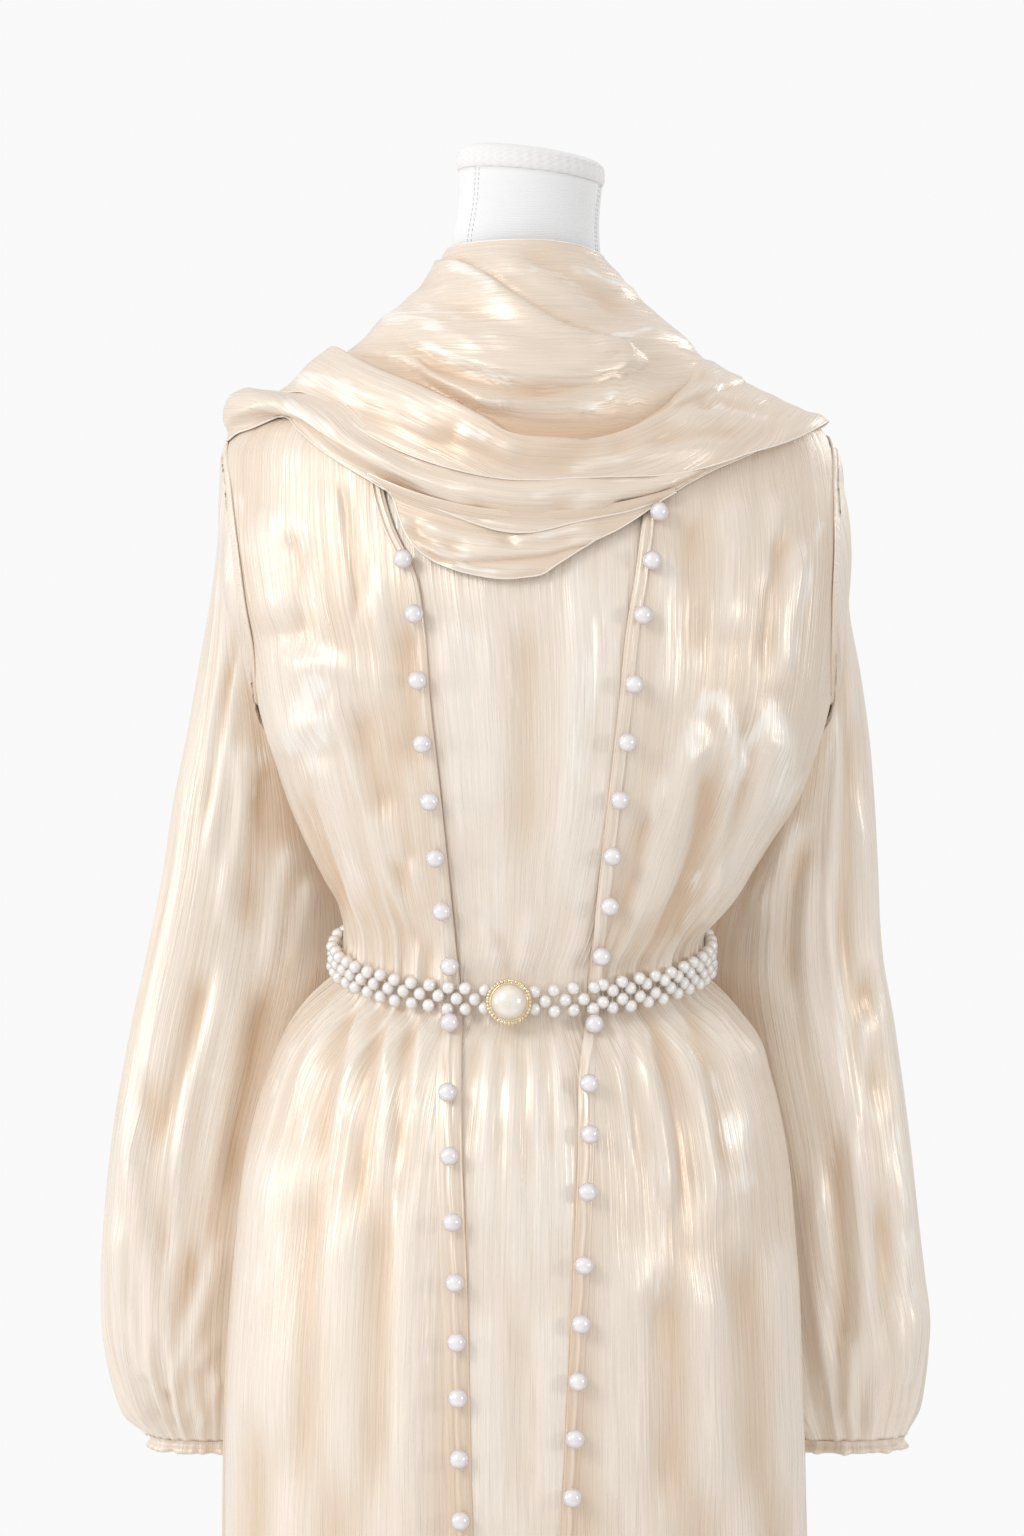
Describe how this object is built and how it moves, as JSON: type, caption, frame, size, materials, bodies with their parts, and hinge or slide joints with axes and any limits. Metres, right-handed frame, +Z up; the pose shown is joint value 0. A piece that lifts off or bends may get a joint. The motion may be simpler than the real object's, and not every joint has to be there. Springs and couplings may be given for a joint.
{
  "type": "abaya set on a limbless dress form",
  "caption": "Open full-length abaya with pearl plackets and gathered sleeves over a slip dress, with a pearl belt and a wound scarf, on a limbless dress form and round stand.",
  "frame": {"origin": "middle of the stand base's underside, on the floor", "axes": "+Z up along the pole, -Y towards the garment's front, +X towards a viewer's right"},
  "size_m": [0.6289, 0.38, 1.5888],
  "materials": {
    "form": "white stretched jersey",
    "stand": "white paint",
    "slip": "champagne satin",
    "abaya": "champagne satin organza with a slub",
    "pearl": "pearlescent",
    "clasp": "polished gold plate round a pearl",
    "scarf": "champagne satin organza with a rolled edge"
  },
  "bodies": {
    "root": {"form_body": "form", "form_neck_cap": "form", "stand_base": "stand", "stand_pole": "stand", "slip_front": "slip", "slip_back": "slip", "slip_strap_left": "slip", "slip_strap_right": "slip", "abaya_front_left": "abaya", "abaya_front_right": "abaya", "abaya_back": "abaya", "placket_left": "abaya", "placket_right": "abaya", "sleeve_left": "abaya", "sleeve_right": "abaya", "cuff_left": "abaya", "cuff_right": "abaya", "belt_pearls": "pearl", "belt_clasp": "clasp", "scarf_neck": "scarf", "scarf_middle": "scarf", "scarf_lower": "scarf", "scarf_under": "scarf"}
  },
  "joints": []
}
